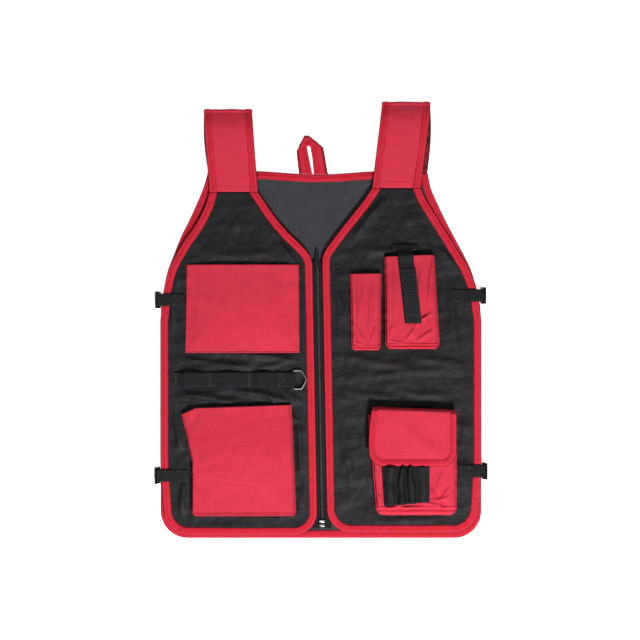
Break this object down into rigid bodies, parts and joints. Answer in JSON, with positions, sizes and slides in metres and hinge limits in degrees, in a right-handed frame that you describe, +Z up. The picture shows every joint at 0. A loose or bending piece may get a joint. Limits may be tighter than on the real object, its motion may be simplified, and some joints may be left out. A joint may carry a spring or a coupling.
{
  "type": "utility work vest",
  "caption": "Sleeveless zip-front work vest lying face up, with bound edges, side buckle straps, patch and box pockets, tool loops, a webbing row with a ring and a neck loop.",
  "frame": {"origin": "on the surface that the vest lies on, below the middle of its outline", "axes": "+Y from the hem to the shoulders, +X to the right of someone looking down at the front, +Z up out of the front"},
  "size_m": [0.532, 0.6987, 0.0377],
  "materials": {
    "black_cloth": "matt plain-woven polyester",
    "grey_lining": "matt plain-woven polyester, paler on its inner side",
    "red_cloth": "matt plain-woven polyester",
    "red_tape": "ribbed binding tape with one row of stitches",
    "black_webbing": "ribbed webbing",
    "zip_coil": "moulded coil",
    "black_plastic": "smooth moulded",
    "grey_metal": "plated steel"
  },
  "bodies": {
    "vest": {"back_panel": "grey_lining", "back_binding_hem": "red_tape", "neck_binding": "red_tape", "back_binding_left": "red_tape", "front_panel_left": "black_cloth", "front_binding_left": "red_tape", "shoulder_strap_left": "red_cloth", "strap_binding_left_outer": "red_tape", "strap_binding_left_inner": "red_tape", "zip_tape_left": "black_webbing", "back_binding_right": "red_tape", "front_panel_right": "black_cloth", "front_binding_right": "red_tape", "shoulder_strap_right": "red_cloth", "strap_binding_right_outer": "red_tape", "strap_binding_right_inner": "red_tape", "zip_tape_right": "black_webbing", "chest_pocket": "red_cloth", "lower_left_pocket": "red_cloth", "pen_pocket": "red_cloth", "phone_pocket": "red_cloth", "phone_strap": "black_webbing", "phone_strap_anchor": "black_webbing", "flap_pocket": "red_cloth", "pocket_flap": "red_cloth", "flap_binding": "red_tape", "tool_loops": "black_cloth", "belt_webbing": "black_webbing", "zip_chain": "zip_coil", "zip_slider": "black_plastic", "zip_retainer": "grey_metal", "side_web_front_upper_left": "black_webbing", "side_web_back_upper_left": "black_webbing", "side_buckle_upper_left": "black_plastic", "side_web_front_upper_right": "black_webbing", "side_web_back_upper_right": "black_webbing", "side_buckle_upper_right": "black_plastic", "side_web_front_lower_left": "black_webbing", "side_web_back_lower_left": "black_webbing", "side_buckle_lower_left": "black_plastic", "side_web_front_lower_right": "black_webbing", "side_web_back_lower_right": "black_webbing", "side_buckle_lower_right": "black_plastic", "hang_loop": "red_tape"},
    "ring": {"d_ring": "grey_metal"},
    "pull": {"zip_pull": "black_plastic"}
  },
  "joints": [
    {"name": "d_ring_swing", "type": "hinge", "parent": "vest", "child": "ring", "pos_m": [-0.04419, -0.09555, 0.01341], "axis": [0, -1, 0], "range_deg": [0, 140]},
    {"name": "zip_pull_swing", "type": "hinge", "parent": "vest", "child": "pull", "pos_m": [-0.00591, 0.08842, 0.01168], "axis": [1, 0, 0], "range_deg": [0, 155]}
  ]
}
